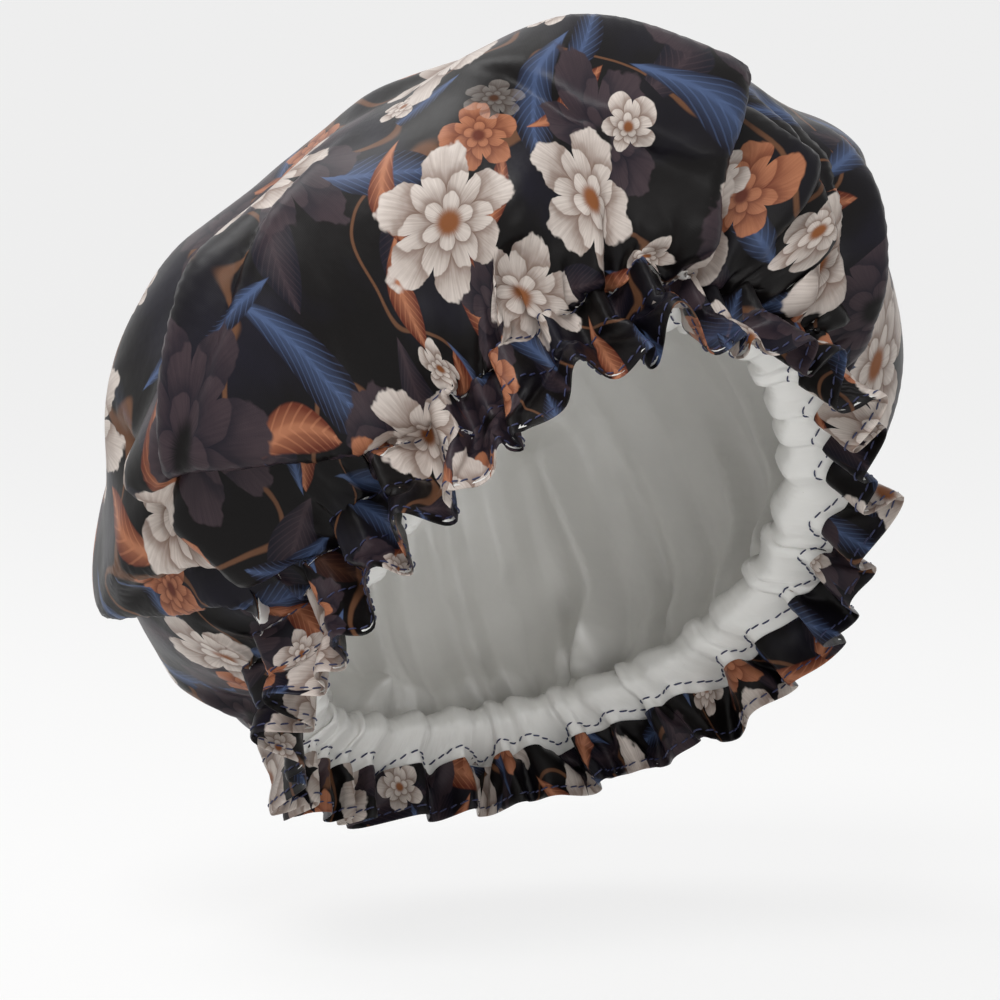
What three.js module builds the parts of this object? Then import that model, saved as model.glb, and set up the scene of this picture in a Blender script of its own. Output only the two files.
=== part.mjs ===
// Gathered shower cap, as worn: a printed outer crown over a waterproof lining, sewn together
// by two rows of stitches that hold an elastic band between them, with a pleated ruffle below.
// At the ruffle's edge the printed cloth turns in, closes over the lining and faces the ruffle.
// Millimetres, +Z up, forehead towards -Y, wearer's left towards +X.
// The origin is the centre of the head opening, level with the upper row of casing stitches.

import * as THREE from 'three';

// Head opening, measured on the outside of the elastic
const OPENING_HALF_WIDTH = 77;
const OPENING_HALF_LENGTH = 106;
const OPENING_TILT = 43;
const EAR_DROP = 10.7;

// Puffed crown, measured above the upper row of casing stitches
const PUFF_HALF_WIDTH = 135;
const PUFF_HALF_LENGTH = 144;
const CROWN_HEIGHT = 132;
const WIDEST_HEIGHT = 39;
const CROWN_FULLNESS = 2.27;
const TUCK_FULLNESS = 1.6;
const LEAN_FORWARD = 17;
const LEAN_LEFT = 5.5;
const CROWN_FOLDS = 9;
const CROWN_FOLD_DEPTH = 8;

// Casing, elastic and ruffle. The facing ends a little below the casing, and the hem is the
// part of it between the ruffle's edge and the edge stitches.
const CASING_DEPTH = 14;
const ELASTIC_WIDTH = 9;
const ELASTIC_THICKNESS = 0.8;
const ELASTIC_OVERLAP = 20;
const RUFFLE_DEPTH = 21;
const FACING_GAP = 3;
const HEM_DEPTH = 2.6;

// Cloth, thread and the gap left between pieces that touch
const FABRIC_THICKNESS = 0.6;
const LINING_THICKNESS = 0.4;
const THREAD_DIAMETER = 0.5;
const CLEARANCE = 0.3;

// Gathers: an even number of pleats, each with a ridge and a valley
const PLEATS = 32;
const TUCK_PLEAT = 10;
const STITCH_PLEAT = 5;
const CASING_PLEAT = 7;
const LINING_PLEAT = 5;
const RIDGE_FLARE = 37;
const VALLEY_FLARE = 3;
const PLEAT_UNEVENNESS = 0.35;

// Facets: turns of the crown's section where its rings lie, in degrees from the crown's top
// down to the widest line and then from the widest line in to the casing
const CROWN_TURNS = [30, 55, 76];
const TUCK_TURNS = [28, 66];
const THREAD_SIDES = 5;
const LONGEST_MITRE = 1.4;
const JOIN_ZIGZAGS = 4;

const radians = THREE.MathUtils.degToRad;
const COLUMNS = 2 * PLEATS;

// Two elastic ends lie on each other, with the thread that joins them outside
const ELASTIC_STACK = 2 * ELASTIC_THICKNESS + CLEARANCE;
const JOIN_THREAD_OUTWARD = ELASTIC_STACK - ELASTIC_THICKNESS + CLEARANCE + THREAD_DIAMETER / 2;
const ELASTIC_TOP = -(CASING_DEPTH - ELASTIC_WIDTH) / 2;
const ELASTIC_BOTTOM = ELASTIC_TOP - ELASTIC_WIDTH;

// The outer crown's face in a valley of the casing clears the join, and the lining's face on
// a ridge clears the inside of the elastic
const VALLEY_OUTWARD = JOIN_THREAD_OUTWARD + THREAD_DIAMETER / 2 + CLEARANCE
  + FABRIC_THICKNESS * LONGEST_MITRE;
const LINING_DEEP = FABRIC_THICKNESS + CLEARANCE;
const LINING_BACK = LINING_DEEP + LINING_THICKNESS;
const LINING_OUTWARD = LINING_DEEP - ELASTIC_THICKNESS - CLEARANCE;

// Facing: it lies inside the lining, whose edge stands clear of the fold
const FACING_FRONT = LINING_BACK + CLEARANCE;
const FACING_BACK = FACING_FRONT + FABRIC_THICKNESS;
const FOLD_SHARE = FABRIC_THICKNESS / HEM_DEPTH;
const LINING_EDGE_SHARE = (FABRIC_THICKNESS + 2 * CLEARANCE) / HEM_DEPTH;

// Angle round the opening of a share of the cloth, from the wearer's left towards the nape.
// A slow swing makes some pleats wider than others.
function clothAngle(share) {
  const turn = 2 * Math.PI * share;
  const swings = 5;
  return turn + PLEAT_UNEVENNESS / swings * Math.sin(swings * turn + 1);
}

// Depth of the pleat at an angle, as a share of the mean one
function pleatFullness(angle) {
  const slow = Math.sin(3 * angle + 0.8);
  const quick = Math.sin(7 * angle + 2);
  return 1 + PLEAT_UNEVENNESS * (0.6 * slow + 0.4 * quick);
}

// The opening dips at the ears and rises at forehead and nape, less so towards the crown
function earDrop(angle, height) {
  return -EAR_DROP * Math.cos(2 * angle) * (1 - height / CROWN_HEIGHT);
}

// Point at a distance outward from the elastic's line and a height above the casing's top
function ringPoint(angle, outward, height) {
  const x = Math.cos(angle);
  const y = Math.sin(angle);
  const normal = new THREE.Vector2(x / OPENING_HALF_WIDTH, y / OPENING_HALF_LENGTH).normalize();
  return new THREE.Vector3(
    OPENING_HALF_WIDTH * x + outward * normal.x,
    OPENING_HALF_LENGTH * y + outward * normal.y,
    height + earDrop(angle, height),
  );
}

// Point of a crown section with given half sizes and height, leaning with its height
function leaningPoint(angle, halfWidth, halfLength, height) {
  const lean = height / CROWN_HEIGHT;
  return new THREE.Vector3(
    halfWidth * Math.cos(angle) + LEAN_LEFT * lean,
    halfLength * Math.sin(angle) - LEAN_FORWARD * lean,
    height + earDrop(angle, height),
  );
}

// Broad soft folds that run up the crown, wider on some sides than on others
function crownFold(angle) {
  return CROWN_FOLD_DEPTH / 2 * Math.sin(CROWN_FOLDS * angle + 1.5 * Math.sin(2 * angle));
}

// Upper crown: a superellipse from the top down to the widest line, whose folds die out upwards
function crownPoint(angle, turn) {
  const power = 2 / CROWN_FULLNESS;
  const spread = Math.sin(radians(turn)) ** power;
  const rise = Math.cos(radians(turn)) ** power;
  const height = WIDEST_HEIGHT + (CROWN_HEIGHT - WIDEST_HEIGHT) * rise;
  const fold = crownFold(angle) * spread ** 4;
  return leaningPoint(angle, PUFF_HALF_WIDTH * spread + fold, PUFF_HALF_LENGTH * spread + fold, height);
}

// Lower crown: the cloth turns in from the widest line to the casing
function tuckPoint(angle, turn, outward) {
  const power = 2 / TUCK_FULLNESS;
  const spread = Math.cos(radians(turn)) ** power;
  const height = WIDEST_HEIGHT * (1 - Math.sin(radians(turn)) ** power);
  const halfWidth = THREE.MathUtils.lerp(OPENING_HALF_WIDTH + VALLEY_OUTWARD, PUFF_HALF_WIDTH, spread);
  const halfLength = THREE.MathUtils.lerp(OPENING_HALF_LENGTH + VALLEY_OUTWARD, PUFF_HALF_LENGTH, spread);
  return leaningPoint(angle, halfWidth + outward, halfLength + outward, height);
}

// Ring of points at even shares of the cloth. Ridges come first, so a ring with one point
// for each pleat lies on the ridges.
function ring(count, place) {
  return Array.from({ length: count }, (_, index) => {
    const angle = clothAngle(index / count);
    const ridge = count <= PLEATS || index % 2 === 0;
    return place(angle, ridge, pleatFullness(angle));
  });
}

// Ruffle point at a share of its depth, along a slope that flares on ridges
function rufflePoint(angle, ridge, fullness, share) {
  const start = VALLEY_OUTWARD + (ridge ? STITCH_PLEAT * fullness : 0);
  const flare = radians(ridge ? RIDGE_FLARE * fullness : VALLEY_FLARE);
  const reach = RUFFLE_DEPTH * share;
  return ringPoint(angle, start + reach * Math.sin(flare), -CASING_DEPTH - reach * Math.cos(flare));
}

// Rings of the crown down to the casing's upper stitches
function crownRings() {
  const counts = [PLEATS / 2, PLEATS, PLEATS];
  const upper = CROWN_TURNS.map((turn, index) => ring(counts[index], (angle) => crownPoint(angle, turn)));
  const top = [crownPoint(0, 0)];
  const [widest, tuck] = TUCK_TURNS;
  const below = ring(PLEATS, (angle) => tuckPoint(angle, widest, crownFold(angle)));
  const gathered = ring(COLUMNS, (angle, ridge, fullness) => (
    tuckPoint(angle, tuck, (ridge ? TUCK_PLEAT : 0) * fullness)
  ));
  return [top, ...upper, below, gathered];
}

function stitchRing(height) {
  return ring(COLUMNS, (angle, ridge, fullness) => (
    ringPoint(angle, VALLEY_OUTWARD + (ridge ? STITCH_PLEAT * fullness : 0), height)
  ));
}

// Rings of the ruffle: where the facing ends, the edge stitches, and the edge
function ruffleRings() {
  const shares = [FACING_GAP / RUFFLE_DEPTH, 1 - HEM_DEPTH / RUFFLE_DEPTH, 1];
  return shares.map((share) => ring(COLUMNS, (angle, ridge, fullness) => (
    rufflePoint(angle, ridge, fullness, share)
  )));
}

// The outer crown's face: crown, puckers round the elastic, ruffle
function outerRings() {
  const puckered = ring(COLUMNS, (angle, ridge, fullness) => (
    ringPoint(angle, VALLEY_OUTWARD + (ridge ? CASING_PLEAT * fullness : 0), -CASING_DEPTH / 2)
  ));
  return [...crownRings(), stitchRing(0), puckered, stitchRing(-CASING_DEPTH), ...ruffleRings()];
}

// The same cloth as the lining follows it, passing inside the elastic
function liningRings() {
  const inside = [ELASTIC_TOP, ELASTIC_BOTTOM].map((height) => ring(COLUMNS, (angle, ridge, fullness) => (
    ringPoint(angle, LINING_OUTWARD - (ridge ? 0 : LINING_PLEAT * fullness), height)
  )));
  return [...crownRings(), stitchRing(0), ...inside, stitchRing(-CASING_DEPTH), ...ruffleRings()];
}

// Triangles between two rings, which may have different counts of points
function band(from, to, inward = false) {
  const triangles = [];
  const fromSteps = from.length > 1 ? from.length : 0;
  const toSteps = to.length > 1 ? to.length : 0;
  let i = 0;
  let j = 0;
  while (i < fromSteps || j < toSteps) {
    const corner = [from[i % from.length], to[j % to.length]];
    const stepFrom = j === toSteps || (i < fromSteps && (i + 1) / fromSteps <= (j + 1) / toSteps);
    if (stepFrom) {
      i += 1;
      corner.push(from[i % from.length]);
    } else {
      j += 1;
      corner.push(to[j % to.length]);
    }
    triangles.push(inward ? corner.reverse() : corner);
  }
  return triangles;
}

// Face of a stack of rings, each joined to the next
function face(rings, inward = false) {
  return rings.slice(1).flatMap((lower, index) => band(rings[index], lower, inward));
}

// Mitre of each point of a face: moved along it by a distance, the point lies that distance
// from all the planes that meet there, as far as the longest mitre allows
function mitres(rings) {
  const planes = new Map(rings.flat().map((point) => [point, []]));
  for (const corners of face(rings)) {
    const normal = new THREE.Triangle(...corners).getNormal(new THREE.Vector3());
    corners.forEach((point) => planes.get(point).push(normal));
  }
  const softening = 0.02;
  return rings.map((points) => points.map((point) => {
    const total = new THREE.Vector3();
    const spread = new Float64Array([softening, 0, 0, 0, softening, 0, 0, 0, softening]);
    for (const normal of planes.get(point)) {
      const axes = normal.toArray();
      total.add(normal);
      axes.forEach((across, row) => axes.forEach((down, column) => {
        spread[3 * row + column] += across * down;
      }));
    }
    return total.applyMatrix3(new THREE.Matrix3().set(...spread).invert()).clampLength(0, LONGEST_MITRE);
  }));
}

// Rings moved along their mitres, outward where the distance is positive
function moved(rings, along, distance) {
  return rings.map((points, row) => points.map((point, index) => (
    point.clone().addScaledVector(along[row][index], distance)
  )));
}

// Ring part of the way from one ring to another of the same count
function between(from, to, share) {
  return from.map((point, index) => point.clone().lerp(to[index], share));
}

// Closed geometry of loose triangles
function solid(triangles) {
  const points = triangles.flat();
  const geometry = new THREE.BufferGeometry().setFromPoints(points);
  geometry.computeVertexNormals();
  return geometry;
}

// Tube round a path of points, turned at each point away from the cloth. A looped path closes
// on itself and another gets flat ends.
function threadSolid(path, aways, looped) {
  const radius = THREAD_DIAMETER / 2;
  const last = path.length - 1;
  const sections = path.map((point, index) => {
    const before = path[index === 0 ? (looped ? last : 0) : index - 1];
    const after = path[index === last ? (looped ? 0 : last) : index + 1];
    const along = after.clone().sub(before).normalize();
    const side = aways[index].clone().cross(along).normalize();
    const away = along.clone().cross(side);
    return Array.from({ length: THREAD_SIDES }, (_, corner) => {
      const turn = 2 * Math.PI * corner / THREAD_SIDES;
      return point.clone()
        .addScaledVector(away, radius * Math.cos(turn))
        .addScaledVector(side, radius * Math.sin(turn));
    });
  });
  const start = looped ? [] : [[path[0]]];
  const end = looped ? sections[0] : [path[last]];
  return solid(face([...start, ...sections, end]));
}

// Loop of thread along one ring of the outer crown's face
function stitchLoop(points, along) {
  const height = CLEARANCE + THREAD_DIAMETER / 2;
  const path = points.map((point, index) => point.clone().addScaledVector(along[index], height));
  return threadSolid(path, along, true);
}

// Printed outer crown: its face, the fold at the ruffle's edge, the facing, and its back
function outerCrown(rings, along) {
  const back = moved(rings, along, -FABRIC_THICKNESS);
  const ruffle = rings.slice(-3);
  const ruffleAlong = along.slice(-3);
  const [frontTop, frontStitched, frontEdge] = moved(ruffle, ruffleAlong, -FACING_FRONT);
  const [backTop, backStitched, backEdge] = moved(ruffle, ruffleAlong, -FACING_BACK);
  const slotOuter = between(back.at(-1), back.at(-2), FOLD_SHARE);
  const slotInner = between(frontEdge, frontStitched, FOLD_SHARE);
  return solid([
    ...face(rings),
    ...band(rings.at(-1), backEdge),
    ...face([backTop, backStitched, backEdge], true),
    ...band(backTop, frontTop),
    ...face([frontTop, frontStitched, slotInner]),
    ...band(slotInner, slotOuter),
    ...face([...back.slice(0, -1), slotOuter], true),
  ]);
}

// Waterproof lining: the same cut, with its edge inside the fold
function innerLining() {
  const rings = liningRings();
  const along = mitres(rings);
  const withEdge = (layer) => [...layer.slice(0, -1), between(layer.at(-1), layer.at(-2), LINING_EDGE_SHARE)];
  const front = withEdge(moved(rings, along, -LINING_DEEP));
  const back = withEdge(moved(rings, along, -LINING_BACK));
  return solid([...face(front), ...band(front.at(-1), back.at(-1)), ...face(back, true)]);
}

// Columns that the elastic's overlap covers, and the column at the nape where it starts
const OVERLAP_COLUMNS = Math.max(2, Math.round(
  ELASTIC_OVERLAP * COLUMNS / (Math.PI * (OPENING_HALF_WIDTH + OPENING_HALF_LENGTH)),
));
const NAPE_COLUMN = COLUMNS / 4;

// Elastic: a flat strip once round the opening, whose last part climbs over its first
function elasticBand() {
  const steps = COLUMNS + OVERLAP_COLUMNS;
  const sections = Array.from({ length: steps + 1 }, (_, step) => {
    const angle = clothAngle((NAPE_COLUMN + step) / COLUMNS);
    const climb = THREE.MathUtils.clamp((step - COLUMNS + 2) / 2, 0, 1);
    const outside = climb * (ELASTIC_THICKNESS + CLEARANCE);
    const inside = outside - ELASTIC_THICKNESS;
    return [
      ringPoint(angle, outside, ELASTIC_TOP),
      ringPoint(angle, outside, ELASTIC_BOTTOM),
      ringPoint(angle, inside, ELASTIC_BOTTOM),
      ringPoint(angle, inside, ELASTIC_TOP),
    ];
  });
  const [startA, startB, startC, startD] = sections[0];
  const [endA, endB, endC, endD] = sections.at(-1);
  return solid([
    ...face(sections, true),
    [startA, startD, startC],
    [startA, startC, startB],
    [endA, endB, endC],
    [endA, endC, endD],
  ]);
}

// Zigzag thread that joins the elastic's two ends
function elasticJoin() {
  const corners = 2 * JOIN_ZIGZAGS + 1;
  const reach = (ELASTIC_WIDTH - 2 * THREAD_DIAMETER) / 2;
  const middle = (ELASTIC_TOP + ELASTIC_BOTTOM) / 2;
  const margin = 0.15;
  const path = [];
  const aways = [];
  for (let corner = 0; corner < corners; corner += 1) {
    const share = margin + (1 - 2 * margin) * corner / (corners - 1);
    const angle = clothAngle((NAPE_COLUMN + share * OVERLAP_COLUMNS) / COLUMNS);
    const height = middle + (corner % 2 === 0 ? reach : -reach);
    path.push(ringPoint(angle, JOIN_THREAD_OUTWARD, height));
    aways.push(ringPoint(angle, 1, height).sub(ringPoint(angle, 0, height)));
  }
  return threadSolid(path, aways, false);
}

// Finishes
const print = { color: 0x3a3234, roughness: 0.42, metalness: 0 };
const film = { color: 0xebe8e1, roughness: 0.35, metalness: 0 };
const rubber = { color: 0xf1eee6, roughness: 0.8, metalness: 0 };
const thread = { color: 0x23274a, roughness: 0.6, metalness: 0 };

function piece(name, geometry, finish) {
  const mesh = new THREE.Mesh(geometry, new THREE.MeshStandardMaterial(finish));
  mesh.name = name;
  return mesh;
}

const outer = outerRings();
const outerMitres = mitres(outer);
const [upperRow, , lowerRow, , hemRow] = outer.slice(-6);
const [upperMitres, , lowerMitres, , hemMitres] = outerMitres.slice(-6);

const cap = new THREE.Group();
cap.rotation.x = -radians(OPENING_TILT);
cap.add(
  piece('outer_crown', outerCrown(outer, outerMitres), print),
  piece('inner_lining', innerLining(), film),
  piece('elastic_band', elasticBand(), rubber),
  piece('elastic_join_stitch', elasticJoin(), { ...thread, color: 0xd8d4ca }),
  piece('casing_upper_stitch', stitchLoop(upperRow, upperMitres), thread),
  piece('casing_lower_stitch', stitchLoop(lowerRow, lowerMitres), thread),
  piece('hem_stitch', stitchLoop(hemRow, hemMitres), thread),
);

const part = new THREE.Group();
part.add(cap);

export default part;
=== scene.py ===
"""Gathered shower cap: printed cloth settled over a puffed crown, with its lining, elastic and stitches."""

import math
from types import SimpleNamespace

import bpy
import numpy as np
from bpy.props import FloatProperty, FloatVectorProperty, IntProperty, PointerProperty
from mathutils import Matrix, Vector


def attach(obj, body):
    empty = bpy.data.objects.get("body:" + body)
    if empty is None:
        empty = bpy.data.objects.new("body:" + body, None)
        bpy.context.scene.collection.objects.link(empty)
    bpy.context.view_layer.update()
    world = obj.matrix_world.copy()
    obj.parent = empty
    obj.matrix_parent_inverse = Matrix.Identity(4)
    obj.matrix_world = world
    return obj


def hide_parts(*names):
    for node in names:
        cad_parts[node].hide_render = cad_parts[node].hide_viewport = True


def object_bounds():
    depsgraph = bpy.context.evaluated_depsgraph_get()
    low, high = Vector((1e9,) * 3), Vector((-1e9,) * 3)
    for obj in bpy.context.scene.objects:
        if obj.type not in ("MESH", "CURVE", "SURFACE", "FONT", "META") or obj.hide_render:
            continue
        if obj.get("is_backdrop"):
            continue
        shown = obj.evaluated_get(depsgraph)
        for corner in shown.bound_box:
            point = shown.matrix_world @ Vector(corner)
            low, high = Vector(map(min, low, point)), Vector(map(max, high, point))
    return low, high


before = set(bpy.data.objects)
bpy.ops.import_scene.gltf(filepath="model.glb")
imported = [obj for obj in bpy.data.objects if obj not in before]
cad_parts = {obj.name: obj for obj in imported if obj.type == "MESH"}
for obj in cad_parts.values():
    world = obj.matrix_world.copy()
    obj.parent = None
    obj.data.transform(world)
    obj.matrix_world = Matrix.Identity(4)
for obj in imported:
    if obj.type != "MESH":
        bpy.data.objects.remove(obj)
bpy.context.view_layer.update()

bl_info = {
    "name": "Gathered shower cap",
    "version": (1, 0, 0),
    "blender": (4, 5, 0),
    "location": "3D View > Sidebar > Shower Cap",
    "description": "Builds a shower cap from gathered cloth, a lining, elastic and rows of stitches",
    "category": "Add Mesh",
}

MM = 0.001

# Folds of the worn crown. Each has its height outward and half width in millimetres, and its line as
# angles round the opening in degrees with shares of the way from the crown's top to the casing.
CROWN_FOLDS = (
    (-13, 32, ((254, 0.46), (242, 0.44), (228, 0.47), (214, 0.50))),
    (-4, 20, ((304, 0.56), (292, 0.66), (284, 0.72))),
    (8, 18, ((322, 0.54), (312, 0.66), (308, 0.76), (312, 0.86))),
    (5, 20, ((182, 0.44), (178, 0.53), (174, 0.60))),
    (-5, 20, ((334, 0.72), (352, 0.84))),
    (4, 26, ((248, 0.42), (257, 0.53), (265, 0.61), (275, 0.68), (285, 0.71))),
    (2, 14, ((332, 0.58), (331, 0.76), (336, 0.92))),
    (7, 20, ((232, 0.42), (222, 0.54), (212, 0.64), (202, 0.71), (193, 0.76))),
    (-6, 16, ((208, 0.50), (198, 0.57), (188, 0.64), (181, 0.69))),
    (4, 24, ((252, 0.46), (245, 0.67), (234, 0.77), (226, 0.84))),
    (-7, 11, ((231, 0.82), (240, 0.94))),
    (9, 16, ((350, 0.48), (352, 0.70), (356, 0.95))),
    (-11, 13, ((6, 0.55), (9, 0.70), (8, 0.96))),
    (10, 18, ((26, 0.44), (28, 0.75), (34, 0.97))),
    (-12, 13, ((50, 0.55), (47, 0.75), (50, 0.96))),
    (10, 20, ((68, 0.38), (69, 0.70), (66, 0.95))),
    (-11, 11, ((86, 0.60), (88, 0.80), (93, 0.97))),
    (10, 18, ((104, 0.44), (106, 0.70), (111, 0.95))),
    (-12, 12, ((124, 0.60), (122, 0.80), (127, 0.97))),
    (6, 18, ((142, 0.40), (143, 0.58), (148, 0.70))),
)

# Laps, where the crown hangs over itself. Each has its step in height and the width in which that dies away
# in millimetres, and its lip's line as above, with the raised side on the right of the way along it.
CROWN_LAPS = (
    (15, 20, ((254, 0.50), (264, 0.58), (270, 0.62), (277, 0.68), (283, 0.73))),
    (30, 12, ((286, 0.66), (279, 0.77), (277, 0.82), (277, 0.93), (276, 1.00))),
    (19, 9, ((283, 0.68), (286, 0.77), (289, 0.82), (288, 0.87), (283, 0.95))),
    (27, 10, ((288, 0.66), (292, 0.78), (295, 0.83), (298, 0.88), (301, 0.99))),
    (25, 12, ((293, 0.62), (299, 0.78), (304, 0.83), (309, 0.88), (316, 0.97))),
    (19, 14, ((303, 0.60), (309, 0.73), (314, 0.80), (320, 0.87), (326, 0.96))),
    (12, 9, ((186, 0.83), (197, 0.77), (207, 0.71), (215, 0.64), (230, 0.56))),
    (16, 12, ((180, 0.82), (191, 0.76), (195, 0.71), (199, 0.67), (205, 0.60), (216, 0.50))),
    (22, 16, ((217, 1.00), (206, 0.95), (198, 0.88), (191, 0.81), (180, 0.74))),
    (16, 14, ((182, 0.96), (182, 0.86), (182, 0.80), (181, 0.73), (176, 0.60))),
    (18, 13, ((189, 1.00), (182, 0.93), (176, 0.86), (168, 0.81), (154, 0.74))),
    (18, 13, ((176, 1.00), (167, 0.90), (156, 0.81), (138, 0.70))),
    (7, 18, ((274, 0.91), (262, 0.80), (256, 0.75), (252, 0.68), (246, 0.58))),
    (16, 16, ((336, 0.60), (341, 0.80), (346, 1.00))),
    (16, 16, ((20, 0.56), (23, 0.78), (30, 1.00))),
    (16, 16, ((66, 1.00), (61, 0.80), (62, 0.60))),
    (16, 16, ((96, 0.58), (101, 0.78), (108, 1.00))),
)

# Rows of cloth points from the crown's top to the casing, over the casing, and over the ruffle
CROWN_ROWS = 58
CASING_SHARES = (0.157, 0.5, 0.843, 1.0)
CASING_ROWS = len(CASING_SHARES)
RUFFLE_ROWS = 6
ROWS = CROWN_ROWS + CASING_ROWS + RUFFLE_ROWS


def length(name, description, default):
    """Length property in metres, given in millimetres."""
    return FloatProperty(
        name=name, description=description, default=default * MM, unit="LENGTH", precision=4
    )


def degrees(name, description, default):
    """Angle property, given in degrees."""
    return FloatProperty(name=name, description=description, default=math.radians(default), subtype="ANGLE")


def plain(name, description, default):
    """Number property without a unit."""
    return FloatProperty(name=name, description=description, default=default)


def whole(name, description, default, least, most):
    """Whole number property."""
    return IntProperty(name=name, description=description, default=default, min=least, max=most)


def colour(name, description, default):
    """Colour property in linear light."""
    return FloatVectorProperty(
        name=name, description=description, default=default, subtype="COLOR", min=0, max=1
    )


class CapSizes(bpy.types.PropertyGroup):
    """Sizes of the cap as worn"""

    opening_half_width: length("Opening half width", "Ear to ear, outside the elastic", 77)
    opening_half_length: length("Opening half length", "Forehead to nape, outside the elastic", 106)
    opening_tilt: degrees("Opening tilt", "How far the opening rises to the forehead", 43)
    ear_drop: length("Ear drop", "Dip of the opening at the ears", 10.7)
    puff_half_width: length("Puff half width", "Half width of the crown at its widest line", 130)
    puff_half_length: length("Puff half length", "Half length of the crown at its widest line", 140)
    crown_height: length("Crown height", "Crown's top above the casing", 132)
    widest_height: length("Widest height", "Widest line above the casing", 39)
    crown_fullness: plain("Crown fullness", "Power of the crown's section", 2.27)
    tuck_fullness: plain("Tuck fullness", "Power of the section that turns in", 1.6)
    lean_forward: length("Lean forward", "How far the crown's top leans to the forehead", 17)
    lean_left: length("Lean left", "How far the crown's top leans to the wearer's left", 5.5)
    casing_depth: length("Casing depth", "Between the two rows of casing stitches", 14)
    ruffle_depth: length("Ruffle depth", "Cloth below the lower casing stitches", 21)
    hem_depth: length("Hem depth", "Edge stitches above the ruffle's edge", 2.6)
    facing_inset: length("Facing inset", "How far the turned-in cloth lies inside the ruffle", 0.8)
    valley_outward: length("Valley outward", "Gathers' valleys outside the elastic", 3)
    gathers: whole("Gathers", "Gathers round the opening", 38, 12, 80)
    gather_seed: whole("Gather seed", "Changes which gathers are wide", 4, 0, 9999)
    gather_depth: plain("Gather depth", "Share of a gather's cloth", 0.4)
    gather_lean: plain("Gather lean", "How far gathers lie over", 0.6)
    gather_reach: length("Gather reach", "How far gathers run up the crown", 45)
    pucker_depth: plain("Pucker depth", "Fine puckers as a share of a gather", 0.16)
    ruffle_twist: plain("Ruffle twist", "How far the ruffle's flutes lie over", 0.7)
    ruffle_hold: plain("Ruffle hold", "How firmly the ruffle keeps its flutes", 0.5)
    ruffle_flare: degrees("Ruffle flare", "Mean outward slope of the ruffle's ridges", 38)
    cut_curve: length("Cut curve", "Radius of the bowl that the eased cloth would lie in", 168)
    fold_press: plain("Fold press", "How far folds are pressed in again", 0.4)
    lap_over: plain("Lap over", "How far laps slide over, as a share of their step", 0.7)
    kept_waves: plain("Kept waves", "Waves round the crown that stay in it", 24)
    elastic_width: length("Elastic width", "Width of the elastic", 9)
    elastic_thickness: length("Elastic thickness", "Thickness of the elastic", 0.8)
    elastic_overlap: length("Elastic overlap", "Length of the elastic's sewn overlap", 20)
    thread_diameter: length("Thread diameter", "Diameter of the sewing thread", 0.55)
    stitch_length: length("Stitch length", "Length of one stitch on the cloth", 3)
    stitch_gap: length("Stitch gap", "Gap between two stitches", 0.8)
    settling_frames: whole("Settling frames", "Steps in which the cloth settles", 30, 1, 250)


class CapColours(bpy.types.PropertyGroup):
    """Colours of the print, lining, elastic and threads"""

    ground: colour("Ground", "Dark ground of the print", (0.0045, 0.0036, 0.0036))
    petal: colour("Petal", "Lit petals", (0.66, 0.59, 0.54))
    petal_shade: colour("Petal shade", "Shaded petals", (0.16, 0.092, 0.066))
    heart: colour("Heart", "Hearts of the blossoms", (0.24, 0.085, 0.030))
    peach: colour("Peach", "Warm leaves, lit", (0.42, 0.170, 0.090))
    rust: colour("Rust", "Warm leaves, shaded", (0.12, 0.028, 0.015))
    slate: colour("Slate", "Cool leaves, lit", (0.070, 0.105, 0.205))
    navy: colour("Navy", "Cool leaves, shaded", (0.009, 0.008, 0.014))
    plum: colour("Plum", "Dusky blossoms, lit", (0.050, 0.034, 0.040))
    stem: colour("Stem", "Fine stems", (0.13, 0.060, 0.032))
    film: colour("Film", "Waterproof lining", (0.92, 0.91, 0.88))
    rubber: colour("Rubber", "Woven elastic", (0.85, 0.83, 0.78))
    thread: colour("Thread", "Navy sewing thread", (0.016, 0.020, 0.062))
    join_thread: colour("Join thread", "Pale thread of the elastic's join", (0.68, 0.65, 0.60))
    floor: colour("Floor", "Pale floor", (0.90, 0.90, 0.89))


class CapStage(bpy.types.PropertyGroup):
    """Camera, floor and light"""

    azimuth: degrees("Azimuth", "Camera's angle round the cap from the forehead", -30.45)
    elevation: degrees("Elevation", "Camera's angle above the level", 5)
    distance: length("Distance", "Camera's distance", 1600)
    frame_width: length("Frame width", "Width of the view at the cap", 312.5)
    aim_right: length("Aim right", "View's centre to the right of the opening's", -11.72)
    aim_up: length("Aim up", "View's centre above the opening's", 12.56)
    floor_drop: length("Floor drop", "Floor below the cap's lowest point", 30)


def ring_to_frame(cap, points):
    """Turn points of the opening's own axes (left, nape, out through the crown) by its tilt."""
    left, nape, out = np.moveaxis(points, -1, 0)
    cosine, sine = math.cos(cap.opening_tilt), math.sin(cap.opening_tilt)
    return np.stack([left, nape * cosine + out * sine, out * cosine - nape * sine], -1)


def ear_drop(cap, angle, height):
    """The opening dips at the ears as a double cosine of the angle, less towards the crown's top."""
    return -cap.ear_drop * np.cos(2 * angle) * (1 - height / cap.crown_height)


def ring_point(cap, angle, outward, height):
    """Point of the opening's ellipse, moved outward along its normal and up by a height."""
    cosine, sine = np.cos(angle), np.sin(angle)
    normal = np.stack([cosine / cap.opening_half_width, sine / cap.opening_half_length], -1)
    normal = normal / np.linalg.norm(normal, axis=-1, keepdims=True)
    left = cap.opening_half_width * cosine + outward * normal[..., 0]
    nape = cap.opening_half_length * sine + outward * normal[..., 1]
    return np.stack([left, nape, height + ear_drop(cap, angle, height)], -1)


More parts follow.
